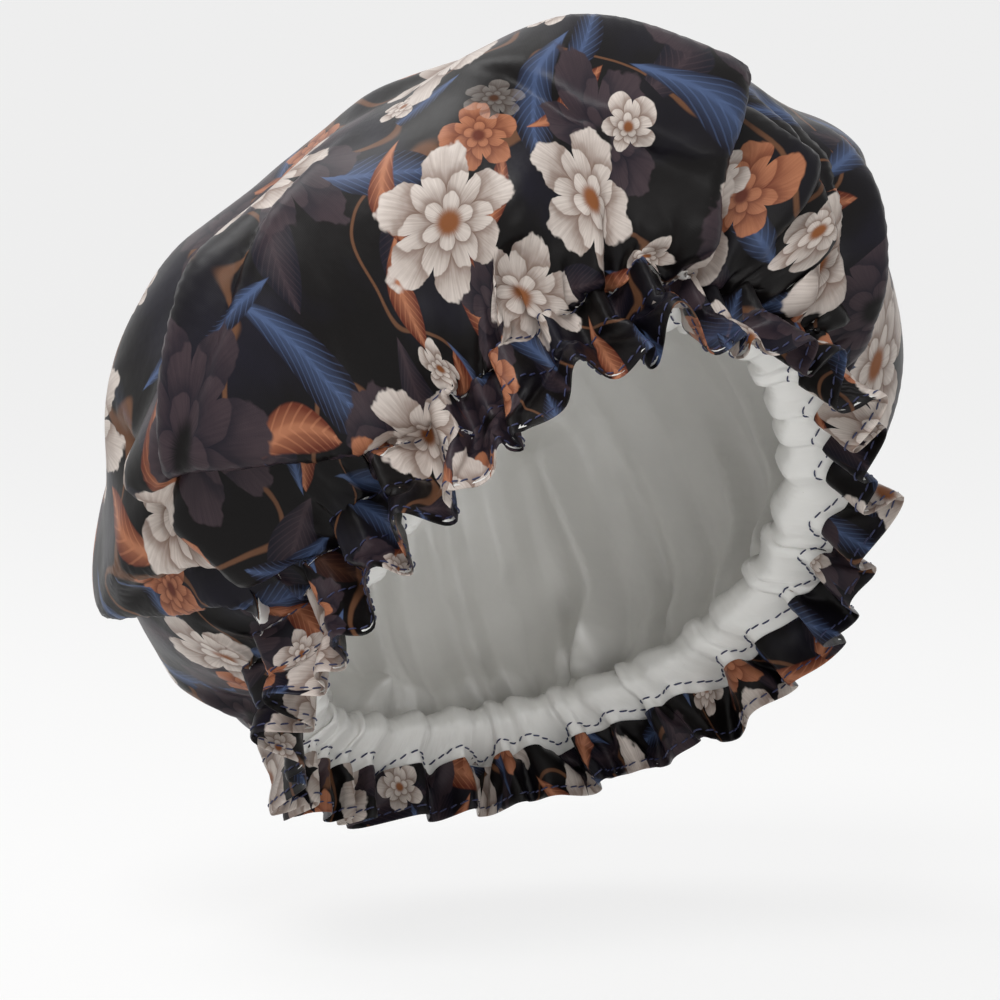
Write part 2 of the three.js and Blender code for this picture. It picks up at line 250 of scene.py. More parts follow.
def crown_section(cap):
    """Section of the crown as a table: its length so far, spread, fullness, height and mean radius.

    A superellipse runs from the top to the widest line, where spread goes from 0 to 1. A second one turns
    in from there to the casing, where fullness goes from 1 to 0. Length is summed along the mean section.
    """
    turn = np.linspace(0, math.pi / 2, 400)
    upper, lower = 2 / cap.crown_fullness, 2 / cap.tuck_fullness
    spread = np.r_[np.sin(turn) ** upper, np.ones(turn.size - 1)]
    fullness = np.r_[np.ones(turn.size), np.cos(turn[1:]) ** lower]
    rise = cap.crown_height - cap.widest_height
    tuck = cap.widest_height * (1 - np.sin(turn[1:]) ** lower)
    height = np.r_[cap.widest_height + rise * np.cos(turn) ** upper, tuck]
    narrow = (cap.opening_half_width + cap.opening_half_length) / 2 + cap.valley_outward
    wide = (cap.puff_half_width + cap.puff_half_length) / 2
    radius = spread * (narrow + (wide - narrow) * fullness)
    run = np.r_[0, np.cumsum(np.hypot(np.diff(radius), np.diff(height)))]
    return SimpleNamespace(run=run, spread=spread, fullness=fullness, height=height, radius=radius)


def crown_point(cap, angle, share, outward):
    """Point of the crown at an angle and a share of its section's length, moved outward.

    Half sizes go from the opening's to the puff's by the section's fullness, shrink by its spread, and the
    section leans forward and left in step with its height. The move stays in the opening's plane.
    """
    section = crown_section(cap)
    run = share * section.run[-1]
    spread, fullness, height = (
        np.interp(run, section.run, table) for table in (section.spread, section.fullness, section.height)
    )
    narrow_width = cap.opening_half_width + cap.valley_outward
    narrow_length = cap.opening_half_length + cap.valley_outward
    half_width = spread * (narrow_width + (cap.puff_half_width - narrow_width) * fullness)
    half_length = spread * (narrow_length + (cap.puff_half_length - narrow_length) * fullness)
    normal = np.stack([np.cos(angle) * half_length, np.sin(angle) * half_width], -1)
    normal = normal / np.maximum(np.linalg.norm(normal, axis=-1, keepdims=True), 1e-9)
    lean = height / cap.crown_height
    left = half_width * np.cos(angle) + cap.lean_left * lean + outward * normal[..., 0]
    nape = half_length * np.sin(angle) - cap.lean_forward * lean + outward * normal[..., 1]
    return np.stack([left, nape, height + ear_drop(cap, angle, height)], -1)


def near_line(cap, angle, share, line):
    """Nearest place on a fold's line: distance on the cloth, side, way along it and direction across it.

    Angles and shares are made lengths on the cloth. The side is 1 on the right of the line and -1 on its
    left, as seen from outside, and the direction across points to the right.
    """
    section = crown_section(cap)
    reach = section.run[-1]
    radius = np.maximum(np.interp(share * reach, section.run, section.radius), 20 * MM)[..., None]
    starts, ends = np.array(line[:-1]), np.array(line[1:])
    across = np.radians((np.degrees(angle)[..., None] - starts[:, 0] + 180) % 360 - 180) * radius
    along = (share[..., None] - starts[:, 1]) * reach
    line_across = np.radians(ends[:, 0] - starts[:, 0]) * radius
    line_along = (ends[:, 1] - starts[:, 1]) * reach + 0 * radius
    size = np.hypot(line_across, line_along)
    part = np.clip((across * line_across + along * line_along) / size**2, 0, 1)
    gap_across, gap_along = across - part * line_across, along - part * line_along
    distance = np.hypot(gap_across, gap_along)
    nearest = distance.argmin(-1)[..., None]
    found = {
        "distance": distance,
        "side": np.sign(line_across * gap_along - line_along * gap_across),
        "way": (np.arange(len(starts)) + part) / len(starts),
        "across": -line_along / size,
        "along": line_across / size,
    }
    picked = {name: np.take_along_axis(value, nearest, -1)[..., 0] for name, value in found.items()}
    return SimpleNamespace(**picked)


def fold_height(cap, angle, share):
    """Height of the crown's folds, ridges or grooves whose flanks fall off with the distance to a line.

    A fold's height is multiplied by one less its share of the reach, to the power of 1.5.
    """
    total = np.zeros_like(angle)
    for height, half_width, line in CROWN_FOLDS:
        distance = near_line(cap, angle, share, line).distance
        total += height * MM * np.clip(1 - distance / (1.6 * half_width * MM), 0, 1) ** 1.5
    return total


def lap_shift(cap, angle, share):
    """Shift of the crown at its laps: height outward, and the slide of the raised side over the lower.

    Across a lap the height is a hyperbolic tangent that dies away on both sides, and the slide sets in with
    a logistic step. Both stand back from the lap's line by most of the slide, so that the lip ends near it,
    and taper off towards the line's ends.
    """
    small = 1e-3
    here = crown_point(cap, angle, share, 0)
    round_way = unit(crown_point(cap, angle + small, share, 0) - here)
    down_way = unit(crown_point(cap, angle, share + small, 0) - here)
    height = np.zeros_like(angle)
    slide = np.zeros_like(here)
    for step, width, line in CROWN_LAPS:
        near = near_line(cap, angle, share, line)
        size = step * MM * np.clip(4 * np.minimum(near.way, 1 - near.way), 0, 1)
        beside = (near.side * near.distance - 0.7 * cap.lap_over * size) / MM
        height += 0.5 * size * np.tanh(beside / 2.5) * np.exp(-np.abs(beside) / width)
        onset = 1 + np.exp(-(beside + 1) / 1.5)
        over = cap.lap_over * size / onset * np.exp(-np.clip(beside, 0, None) / 10)
        slide -= over[:, None] * (near.across[:, None] * round_way + near.along[:, None] * down_way)
    return height, ring_to_frame(cap, slide)


def disc(rows):
    """Disc of rows round a middle point, with 6 points more in each: points' rows and angles, triangles.

    Every step along a row makes a triangle with the row inside it, and every step of the inner row one
    with the row outside it.
    """
    counts = 6 * np.arange(1, rows + 1)
    row = np.repeat(np.arange(1, rows + 1), counts)
    place = np.arange(counts.sum()) - np.repeat(counts.cumsum() - counts, counts)
    sector, step = np.divmod(place, row)
    start = 1 + 3 * row * (row - 1)
    inner_count = np.maximum(6 * (row - 1), 1)
    inner_start = np.where(row > 1, 1 + 3 * (row - 1) * (row - 2), 0)
    inner = inner_start + (sector * (row - 1) + step) % inner_count
    inner_next = inner_start + (sector * (row - 1) + step + 1) % inner_count
    here = start + place
    after = start + (place + 1) % (6 * row)
    outward = np.stack([inner, here, after], -1)
    inward = np.stack([inner, after, inner_next], -1)[step < row - 1]
    angle = 2 * math.pi * place / (6 * row)
    return np.r_[0, row], np.r_[0.0, angle], np.vstack([outward, inward])


def row_slice(row):
    """Where a row's points lie in the disc."""
    return slice(1 + 3 * row * (row - 1), 1 + 3 * row * (row + 1))


def cloth_cut(cap):
    """The cloth's cut, a round disc: points' rows, angles and distances from its middle, triangles."""
    crown = crown_section(cap).run[-1]
    casing = crown + cap.casing_depth * np.array(CASING_SHARES)
    ruffle = casing[-1] + cap.ruffle_depth * np.arange(1, RUFFLE_ROWS + 1) / RUFFLE_ROWS
    reaches = np.r_[np.linspace(0, crown, CROWN_ROWS + 1), casing, ruffle]
    row, angle, triangles = disc(ROWS)
    return SimpleNamespace(row=row, angle=angle, reach=reaches[row], triangles=triangles, crown=crown)


def eased_shape(cap, cut):
    """Unstrained shape of the cloth: a bowl on a sphere as far as the casing, then a flat collar."""
    inside = np.minimum(cut.reach, cut.crown)
    radius = cap.cut_curve * np.sin(inside / cap.cut_curve) + cut.reach - inside
    height = cap.cut_curve * np.cos(inside / cap.cut_curve)
    return np.stack([radius * np.cos(cut.angle), radius * np.sin(cut.angle), height], -1)


def gathers(cap, angle):
    """Gathers at angles of the cloth: angle round the opening, ridge and peak, depth, flare and twist.

    The cloth and the opening are shared out among gathers of uneven widths. Within each, the ridge is a
    squared sine that lies over to one side and has fine puckers, three sines to a gather. The peak is a
    straight rise and fall.
    """
    chance = np.random.default_rng(cap.gather_seed)
    width = 1 + 0.6 * chance.uniform(-1, 1, cap.gathers)
    room = width**0.7 * (1 + 0.25 * chance.uniform(-1, 1, cap.gathers))
    lean = 0.6 * cap.gather_lean * chance.uniform(-1, 1, cap.gathers)
    flare = cap.ruffle_flare * (1 + 0.7 * chance.uniform(-1, 1, cap.gathers))
    twist = cap.ruffle_twist * chance.uniform(-1, 1, cap.gathers)
    phase = chance.uniform(0, 2 * math.pi, cap.gathers)
    cloth_edges = 2 * math.pi * np.r_[0, np.cumsum(width)] / width.sum()
    ring_edges = 2 * math.pi * np.r_[0, np.cumsum(room)] / room.sum()
    index = np.clip(np.searchsorted(cloth_edges, angle, side="right") - 1, 0, cap.gathers - 1)
    share = (angle - cloth_edges[index]) / np.diff(cloth_edges)[index]
    arch = np.sin(math.pi * share)
    puckers = cap.pucker_depth * arch * np.sin(6 * math.pi * share + phase[index])
    swing = 0.08 * np.sin(4 * math.pi * share) / math.pi + lean[index] * arch**2
    cloth_radius = cap.cut_curve * math.sin(crown_section(cap).run[-1] / cap.cut_curve)
    return SimpleNamespace(
        angle=ring_edges[index] + np.diff(ring_edges)[index] * (share + swing),
        ridge=arch**2 + puckers,
        peak=1 - np.abs(2 * share - 1),
        depth=cap.gather_depth * np.diff(cloth_edges)[index] * cloth_radius,
        flare=flare[index],
        twist=twist[index] * np.diff(ring_edges)[index],
    )


def drawn_in(cap, cut, gather):
    """Share by which points are drawn into the gathers, the square of the way down, and their angles."""
    fade = np.clip(1 - (cut.crown - cut.reach) / cap.gather_reach, 0, 1) ** 2
    return fade, cut.angle + (gather.angle - cut.angle) * fade


def gathered_start(cap, cut):
    """Cloth as it is laid before it settles: crown with its folds, gathers at the casing, flared ruffle.

    Gathers fade out up the crown. The ruffle's flutes sharpen, slope outward and lie over towards its edge.
    """
    gather = gathers(cap, cut.angle)
    fade, angle = drawn_in(cap, cut, gather)
    share = np.clip(cut.reach / cut.crown, 0, 1)
    bulge = gather.depth * gather.ridge
    swell = 2 * MM * np.sin(math.pi * share)
    outward = bulge * fade + fold_height(cap, angle, share) * (1 - fade) + swell
    crown = crown_point(cap, angle, share, outward)
    down = np.clip(cut.reach - cut.crown, 0, cap.casing_depth)
    ruffle = np.clip(cut.reach - cut.crown - cap.casing_depth, 0, None)
    part = ruffle / cap.ruffle_depth
    slope = math.radians(4) + gather.flare * gather.peak
    crisp = gather.depth * (gather.ridge + (gather.peak - gather.ridge) * part)
    outward = cap.valley_outward + crisp + ruffle * np.sin(slope)
    angle = gather.angle + gather.twist * gather.peak * part
    rim = ring_point(cap, angle, outward, -down - ruffle * np.cos(slope))
    placed = np.where((cut.reach > cut.crown)[:, None], rim, crown)
    return ring_to_frame(cap, placed)


def crown_filling(cap):
    """Form that the cloth rests on: a grid of the crown with its folds, set 4 mm inside the cloth."""
    rows, columns = 56, 144
    angles, shares = np.meshgrid(np.arange(columns) * 2 * math.pi / columns, np.linspace(0.002, 1, rows))
    fade = np.clip((1 - shares) / 0.12, 0, 1)
    outward = fold_height(cap, angles, shares) * fade - 4 * MM
    points = ring_to_frame(cap, crown_point(cap, angles, shares, outward))
    return points.reshape(-1, 3), grid_faces(rows, columns, round_columns=True)


def grid_faces(rows, columns, round_columns=False, round_rows=False):
    """Quads of a grid of points, row after row, closed in either direction where asked."""
    row, column = np.meshgrid(
        np.arange(rows if round_rows else rows - 1),
        np.arange(columns if round_columns else columns - 1),
        indexing="ij",
    )
    below, beside = (row + 1) % rows, (column + 1) % columns
    here, under = row * columns, below * columns
    corners = [here + column, under + column, under + beside, here + beside]
    return np.stack(corners, -1).reshape(-1, 4)


def mesh_object(name, points, faces):
    """New mesh object at the origin with smooth faces."""
    mesh = bpy.data.meshes.new(name)
    mesh.from_pydata(points.tolist(), [], faces if isinstance(faces, list) else faces.tolist())
    mesh.polygons.foreach_set("use_smooth", np.ones(len(mesh.polygons), bool))
    mesh.update()
    obj = bpy.data.objects.new(name, mesh)
    bpy.context.scene.collection.objects.link(obj)
    return obj


def settle(cap, cut, start):
    """Let the cloth settle over its filling, with the casing held, and return its points.

    Blender's Cloth runs at ten times the size, where its springs are steadier. The eased shape is the
    cloth's rest shape, and no point ends further than 25 mm from where it was laid.
    """
    size = 10
    cloth = mesh_object("settling_cloth", start * size, cut.triangles)
    cloth.shape_key_add(name="laid")
    rest = cloth.shape_key_add(name="eased")
    rest.data.foreach_set("co", (eased_shape(cap, cut) * size).ravel())
    rest.value = 0
    held = cloth.vertex_groups.new(name="casing")
    sewn = (cut.row >= CROWN_ROWS) & (cut.row <= CROWN_ROWS + CASING_ROWS)
    held.add(np.flatnonzero(sewn).tolist(), 1, "REPLACE")
    held.add(np.flatnonzero(cut.row > CROWN_ROWS + CASING_ROWS).tolist(), cap.ruffle_hold, "REPLACE")
    points, faces = crown_filling(cap)
    filling = mesh_object("filling", points * size, faces)
    filling.modifiers.new("Collision", "COLLISION")
    filling.collision.thickness_outer = 0.01
    filling.collision.cloth_friction = 5
    cloth.modifiers.new("Normals", "WEIGHTED_NORMAL")
    modifier = cloth.modifiers.new("Cloth", "CLOTH")
    springs = modifier.settings
    springs.quality = 6
    springs.mass = 0.3
    springs.tension_stiffness = 40
    springs.compression_stiffness = 40
    springs.shear_stiffness = 20
    springs.bending_stiffness = 3
    springs.tension_damping = 20
    springs.compression_damping = 20
    springs.shear_damping = 15
    springs.bending_damping = 1
    springs.air_damping = 3
    springs.vertex_group_mass = held.name
    springs.pin_stiffness = 10
    springs.rest_shape_key = rest
    touch = modifier.collision_settings
    touch.distance_min = 0.01
    touch.use_self_collision = True
    touch.self_distance_min = 0.016
    touch.self_friction = 5
    modifier.point_cache.frame_end = cap.settling_frames
    scene = bpy.context.scene
    for step in range(1, cap.settling_frames + 1):
        scene.frame_set(step)
    settled = points_of(cloth) / size
    scene.frame_set(1)
    bpy.data.objects.remove(cloth)
    bpy.data.objects.remove(filling)
    furthest = 25 * MM
    moved = settled - start
    distance = np.linalg.norm(moved, axis=1, keepdims=True)
    return start + moved * np.minimum(1, furthest / np.maximum(distance, 1e-9))


def normals_of(points, triangles):
    """Normals of a cloth's points: the triangles' own, summed by their area at each point."""
    first, second, third = (points[triangles[:, corner]] for corner in range(3))
    facing = np.cross(second - first, third - first)
    total = np.zeros_like(points)
    for corner in range(3):
        np.add.at(total, triangles[:, corner], facing)
    return unit(total)


def drawn_smooth(cap, cut, points):
    """Settled cloth with its crown drawn smooth: round each row, short waves die away, more so further up.

    The innermost rows then lie on the dome of rows 5 and 10, whose height falls with the square of the row.
    """
    smooth = points.copy()
    for row in range(1, CROWN_ROWS):
        here = row_slice(row)
        up = np.clip((cut.crown - cut.reach[here.start]) / cap.gather_reach, 0, 1)
        waves = np.fft.rfft(points[here], axis=0)
        keep = np.exp(-((np.arange(len(waves)) * up**2 / cap.kept_waves) ** 2))
        smooth[here] = np.fft.irfft(waves * keep[:, None], 6 * row, axis=0)
    near_row, far_row = 5, 10
    near, far = (smooth[row_slice(row)].mean(axis=0) for row in (near_row, far_row))
    fall = (far - near) / (far_row**2 - near_row**2)
    smooth[0] = near - near_row**2 * fall
    for row in range(1, near_row):
        here = row_slice(row)
        smooth[here] += near + (row**2 - near_row**2) * fall - smooth[here].mean(axis=0)
    return smooth


def press_folds(cap, cut, points):
    """Press folds and laps into the settled cloth along its normals, less and less towards the casing."""
    share = np.clip(cut.reach / cut.crown, 0, 1)
    up = np.clip(cut.crown - cut.reach, 0, None) / cap.gather_reach
    _, angle = drawn_in(cap, cut, gathers(cap, cut.angle))
    height, slide = lap_shift(cap, angle, share)
    free = np.clip(4 * up, 0, 1)
    rise = cap.fold_press * np.clip(2 * up, 0, 1) * fold_height(cap, angle, share) + free * height
    return points + rise[:, None] * normals_of(points, cut.triangles) + free[:, None] * slide


def mesh_points(mesh, normals=False):
    """Points of a mesh, or their normals."""
    values = np.empty(3 * len(mesh.vertices), np.float32)
    if normals:
        mesh.vertex_normals.foreach_get("vector", values)
    else:
        mesh.vertices.foreach_get("co", values)
    return values.reshape(-1, 3).astype(float)


def points_of(obj, normals=False):
    """Points of an object with its modifiers on, or their normals."""
    shown = obj.evaluated_get(bpy.context.evaluated_depsgraph_get())
    return mesh_points(shown.data, normals)


def unit(vectors):
    """Vectors of length one."""
    return vectors / np.maximum(np.linalg.norm(vectors, axis=-1, keepdims=True), 1e-12)


def read_row(values, row, angle):
    """Values of one row of the disc at other angles, by straight steps between its points."""
    ring = values[row_slice(row)]
    known = 2 * math.pi * np.arange(len(ring)) / len(ring)
    return np.stack([np.interp(angle, known, ring[:, axis], period=2 * math.pi) for axis in range(3)], -1)


def flat_map(mesh, flat, across):
    """UV map from each point's place on the flat cut, with the cut's middle in the map's middle."""
    corners = np.empty(len(mesh.loops), np.int32)
    mesh.loops.foreach_get("vertex_index", corners)
    layer = mesh.uv_layers.new(name="cut")
    layer.data.foreach_set("uv", (0.5 + flat / across)[corners].ravel())


def subdivide(obj):
    """One level of subdivision, the same in the view and the render."""
    modifier = obj.modifiers.new("Subdivision", "SUBSURF")
    modifier.levels = 1
    modifier.render_levels = 1


def dress(obj, node, material):
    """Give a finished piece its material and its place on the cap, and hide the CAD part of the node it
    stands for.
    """
    obj.data.materials.append(material)
    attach(obj, "root")
    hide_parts(node)


def soft_normals(cut, points):
    """Normals of the cloth, averaged with two neighbours on each side from the gathers down.

    The average isn't made one long again, so layers that are set in along it don't cross in tight grooves.
    """
    normals = normals_of(points, cut.triangles)
    soft = normals.copy()
    for row in range(CROWN_ROWS - 10, ROWS + 1):
        ring = normals[row_slice(row)]
        soft[row_slice(row)] = np.mean([np.roll(ring, step, axis=0) for step in range(-2, 3)], axis=0)
    return soft


def turned_in(cap, cut, points):
    """Cloth that is turned in at the ruffle's edge and faces it inside: points, reach, angle and faces.

    One ring makes the fold at the edge. The rest repeats the ruffle's points and triangles, set in along its
    normals and turned over, and ends one row below the casing.
    """
    normals = soft_normals(cut, points)
    edge = row_slice(ROWS)
    first = row_slice(CROWN_ROWS + CASING_ROWS + 1).start
    outward = unit(points[edge] - read_row(points, ROWS - 1, cut.angle[edge]))
    fold = points[edge] + cap.facing_inset * (0.3 * outward - 0.5 * normals[edge])
    inside = points[first:] - cap.facing_inset * normals[first:]
    count = len(fold)
    faced = (cut.triangles >= first).all(axis=1)
    shift = len(points) + count - first
    rings = np.arange(count) + np.array([edge.start, len(points), edge.start + shift])[:, None]
    fold_reach = cut.reach[edge] + 0.5 * cap.facing_inset
    inside_reach = 2 * cut.reach[-1] - cut.reach[first:] + cap.facing_inset
    return SimpleNamespace(
        points=np.vstack([fold, inside]),
        reach=np.r_[fold_reach, inside_reach],
        angle=np.r_[cut.angle[edge], cut.angle[first:]],
        fold=rings.ravel()[grid_faces(3, count, round_columns=True)],
        triangles=cut.triangles[faced][:, ::-1] + shift,
    )


def on_cut(reach, angle):
    """Places on the flat cut at distances and angles from its middle."""
    return reach[:, None] * np.stack([np.cos(angle), np.sin(angle)], -1)


def cut_across(cap):
    """Diameter of the round cut with its facing, and the width that its UV map stands for."""
    reach = crown_section(cap).run[-1] + cap.casing_depth + cap.ruffle_depth
    facing = cap.facing_inset + cap.ruffle_depth * (RUFFLE_ROWS - 1) / RUFFLE_ROWS
    return 2 * (reach + facing)


class CAP_OT_outer_crown(bpy.types.Operator):
    """Lay the printed cloth in gathers over the crown, let it settle and turn its edge in"""

    bl_idname = "object.cap_outer_crown"
    bl_label = "Printed outer crown"

    def execute(self, context):
        cap = context.scene.cap_sizes
        cut = cloth_cut(cap)
        points = gathered_start(cap, cut)
        points = press_folds(cap, cut, drawn_smooth(cap, cut, settle(cap, cut, points)))
        facing = turned_in(cap, cut, points)
        faces = cut.triangles.tolist() + facing.fold.tolist() + facing.triangles.tolist()
        cloth = mesh_object("crown_cloth", np.vstack([points, facing.points]), faces)
        across = cut_across(cap)
        flat_map(cloth.data, on_cut(np.r_[cut.reach, facing.reach], np.r_[cut.angle, facing.angle]), across)
        subdivide(cloth)
        dress(cloth, "outer_crown", print_material(context.scene.cap_colours, across))
        return {"FINISHED"}


def sewn_sheet(name):
    """Points and normals of a sheet's disc, on the surface that shows."""
    sheet = bpy.data.objects[name]
    count = row_slice(ROWS).stop
    return points_of(sheet)[:count], points_of(sheet, normals=True)[:count]


def laid_cloth():
    """Points of the settled cloth's disc before subdivision."""
    return mesh_points(bpy.data.objects["crown_cloth"].data)[: row_slice(ROWS).stop]


def lining_points(cap, cut, outer):
    """Points of the lining: slack in the crown, inside the elastic at the casing, in the ruffle below.

    Close to the stitches it lies against the cloth. From there up it leaves the cloth, shrinks towards the
    crown's middle, passes under the folds and laps and hangs in pleats that run on from the gathers.
    """
    gather = gathers(cap, cut.angle)
    up = np.clip(cut.crown - cut.reach, 0, None)
    share = np.clip(cut.reach / cut.crown, 0, 1)
    _, angle = drawn_in(cap, cut, gather)
    snug, leaving = 12 * MM, 24 * MM
    free = np.clip((up - snug) / leaving, 0, 1)
    free = free * free * (3 - 2 * free)
    pleat_depth = 12 * MM
    pleats = pleat_depth * share**2 * (gather.ridge - 1)
    grooves = np.minimum(fold_height(cap, angle, share) + lap_shift(cap, angle, share)[0], 0)
    outward = 1.6 * grooves + pleats - 2 * MM
    middle = np.array([0.5 * cap.lean_left, -0.5 * cap.lean_forward, cap.widest_height])
    crown = middle + (crown_point(cap, angle, share, outward) - middle) * 0.95
    against = outer - (0.15 * cap.facing_inset + 0.04 * up)[:, None] * soft_normals(cut, outer)
    clearance, groove_depth = 3.2 * MM, 3.5 * MM
    inside = -cap.elastic_thickness - clearance - groove_depth * np.clip(1 - gather.ridge, 0, 1)
    casing = ring_point(cap, gather.angle, inside, -np.clip(cut.reach - cut.crown, 0, cap.casing_depth))
    within = ((cut.row > CROWN_ROWS) & (cut.row < CROWN_ROWS + CASING_ROWS))[:, None]
    against = np.where(within, ring_to_frame(cap, casing), against)
    return against + free[:, None] * (ring_to_frame(cap, crown) - against)


class CAP_OT_inner_lining(bpy.types.Operator):
    """Lay the waterproof lining inside the outer crown and pass it inside the elastic"""

    bl_idname = "object.cap_inner_lining"
    bl_label = "Waterproof lining"

    def execute(self, context):
        cap = context.scene.cap_sizes
        cut = cloth_cut(cap)
        outer = laid_cloth()
        points = lining_points(cap, cut, outer)
        edge = row_slice(ROWS)
        back = unit(read_row(outer, ROWS - 1, cut.angle[edge]) - outer[edge])
        short_of_fold = 1.2 * MM
        points[edge] += short_of_fold * back
        lining = mesh_object("lining_film", points, cut.triangles)
        flat_map(lining.data, on_cut(cut.reach, cut.angle), cut_across(cap))
        subdivide(lining)
        material = film_material(context.scene.cap_colours, cut_across(cap))
        dress(lining, "inner_lining", material)
        return {"FINISHED"}


class CAP_OT_elastic(bpy.types.Operator):
    """Wind the woven elastic once round the opening, with its ends lapped and sewn"""

    bl_idname = "object.cap_elastic"
    bl_label = "Elastic and its join"

    def execute(self, context):
        cap = context.scene.cap_sizes
        colours = context.scene.cap_colours
        perimeter = math.pi * (cap.opening_half_width + cap.opening_half_length)
        overlap = 2 * math.pi * cap.elastic_overlap / perimeter
        strip = mesh_object("elastic_strip", *elastic_strip(cap, overlap))
        dress(strip, "elastic_band", elastic_material(colours))
        join = mesh_object("elastic_join_thread", *elastic_join(cap, overlap))
        material = thread_material("pale_thread", colours.join_thread)
        dress(join, "elastic_join_stitch", material)
        return {"FINISHED"}


def elastic_strip(cap, overlap):
    """Strip whose ribbed section runs once round the opening from the nape and climbs over its own start.

    The section goes down the outside and up the inside, with seven ribs across the width as a cosine.
    """
    angle = math.pi / 2 + np.linspace(0, 2 * math.pi + overlap, 420)
    across = np.linspace(0, 1, 36)
    rib_height = 0.05 * MM
    rib = rib_height * np.cos(2 * math.pi * 7 * across) * np.sin(math.pi * across) ** 0.3
    half = cap.elastic_thickness / 2 * np.sin(math.pi * np.clip(across, 0.02, 0.98)) ** 0.12
    outside, inside = half + rib - rib_height, -half - rib + rib_height
    top = -(cap.casing_depth - cap.elastic_width) / 2
    section_outward = np.r_[outside, inside[::-1]] - cap.elastic_thickness / 2
    section_height = top - cap.elastic_width * np.r_[across, across[::-1]]
    climbing = 0.12
    climb = np.clip((angle - math.pi / 2 - 2 * math.pi + climbing) / climbing, 0, 1)
    climb = climb * climb * (3 - 2 * climb) * (cap.elastic_thickness + 0.3 * MM)
    outward = section_outward[None] + climb[:, None]
    turned = np.broadcast_to(angle[:, None], outward.shape)
    points = ring_point(cap, turned, outward, section_height[None] + 0 * outward)
    rows, columns = outward.shape
    sides = grid_faces(rows, columns, round_columns=True).tolist()
    ends = [list(range(columns)), list(range(rows * columns - 1, (rows - 1) * columns - 1, -1))]
    return ring_to_frame(cap, points.reshape(-1, 3)), sides + ends


def elastic_join(cap, overlap):
    """Thread in a zigzag over the lapped ends: a round section carried along a triangle wave."""
    zigzags = 8
    turns = np.linspace(0, zigzags, zigzags * 12 + 1)
    angle = math.pi / 2 + overlap * (0.15 + 0.7 * turns / zigzags)
    wave = 2 * np.abs(turns / 2 - np.floor(turns / 2 + 0.5))
    reach = cap.elastic_width / 2 - cap.thread_diameter
    height = -cap.casing_depth / 2 + reach * (1 - 2 * wave)
    outward = cap.elastic_thickness + 0.3 * MM + 0.45 * cap.thread_diameter
    path = ring_to_frame(cap, ring_point(cap, angle, outward + 0 * angle, height))
    away = ring_to_frame(cap, ring_point(cap, angle, outward + MM + 0 * angle, height)) - path
    radii = np.full((1, len(path)), cap.thread_diameter / 2)
    return thread_tubes(path[None], unit(away)[None], radii)


def thread_tubes(paths, aways, radii):
    """Closed threads: six-sided sections of given radii along paths, turned away from the cloth.

    Paths, aways and radii have one row for each thread. The sections at both ends close to a point.
    """
    along = unit(np.gradient(paths, axis=1))
    side = unit(np.cross(aways, along))
    away = np.cross(along, side)
    turn = np.arange(6) * math.pi / 3
    ring = np.cos(turn)[:, None] * away[:, :, None] + np.sin(turn)[:, None] * side[:, :, None]
    points = paths[:, :, None] + radii[..., None, None] * ring
    threads, stations = radii.shape
    body = grid_faces(stations, 6, round_columns=True)
    caps = np.array([[5, 4, 3, 2], [5, 2, 1, 0]])
    last = (stations - 1) * 6 + np.array([[0, 1, 2, 3], [0, 3, 4, 5]])
    one = np.vstack([body[:, ::-1], caps[:, ::-1], last[:, ::-1]])
    offset = np.arange(threads)[:, None, None] * stations * 6
    return points.reshape(-1, 3), (one[None] + offset).reshape(-1, 4)


def smooth_row(values, row, count):
    """Row of the disc read at evenly spread angles with Catmull-Rom curves between its points."""
    ring = values[row_slice(row)]
    place = np.arange(count) * len(ring) / count
    index = place.astype(int)
    part = (place - index)[:, None]
    before, here, after, beyond = (ring[(index + step) % len(ring)] for step in (-1, 0, 1, 2))
    linear = (after - before) * part
    square = (2 * before - 5 * here + 4 * after - beyond) * part**2
    cube = (3 * here - before - 3 * after + beyond) * part**3
    return here + 0.5 * (linear + square + cube)


def stitch_row(cap, sheet, row, up_share, inset, seed):
    """Row of single stitches round a sheet, part of the way from one row of the disc to the row inside it.

    The line is measured along its length and shared out into stitches and gaps of slightly uneven length.
    Each stitch follows the sheet, stands proud in its middle and dips into the sheet at its ends. With an
    inset it lies that far inside the sheet and faces the other way, as the lower thread of a seam does.
    """
    points, normals = sewn_sheet(sheet)
    count = 12 * row
    line = smooth_row(points, row, count)
    away = smooth_row(normals, row, count)
    if up_share:
        line = line + up_share * (smooth_row(points, row - 1, count) - line)
        away = away + up_share * (smooth_row(normals, row - 1, count) - away)
    line = np.vstack([line, line[:1]])
    away = np.vstack([away, away[:1]])
    run = np.r_[0, np.cumsum(np.linalg.norm(np.diff(line, axis=0), axis=1))]
    stitches = int(run[-1] / (cap.stitch_length + cap.stitch_gap))
    chance = np.random.default_rng(seed)
    start = (np.arange(stitches) + 0.12 * chance.uniform(-1, 1, stitches)) * run[-1] / stitches
    size = cap.stitch_length * (1 + 0.08 * chance.uniform(-1, 1, stitches))
    station = np.linspace(-1, 1, 7)
    place = (start[:, None] + size[:, None] * (station + 1) / 2) % run[-1]
    paths = np.stack([np.interp(place, run, line[:, axis]) for axis in range(3)], -1)
    aways = unit(np.stack([np.interp(place, run, away[:, axis]) for axis in range(3)], -1))
    paths = paths - inset * aways
    aways = -aways if inset else aways
    radius = cap.thread_diameter / 2
    lift = radius * (0.75 - 0.9 * station**4)
    sideways = unit(np.cross(aways, np.gradient(paths, axis=1)))
    slant = sideways * (0.08 * cap.stitch_length * station)[:, None]
    paths = paths + lift[:, None] * aways + slant
    radii = np.broadcast_to(radius * (1 - station**8) ** 0.5 * 0.9 + 0.1 * radius, place.shape)
    return thread_tubes(paths, aways, radii)


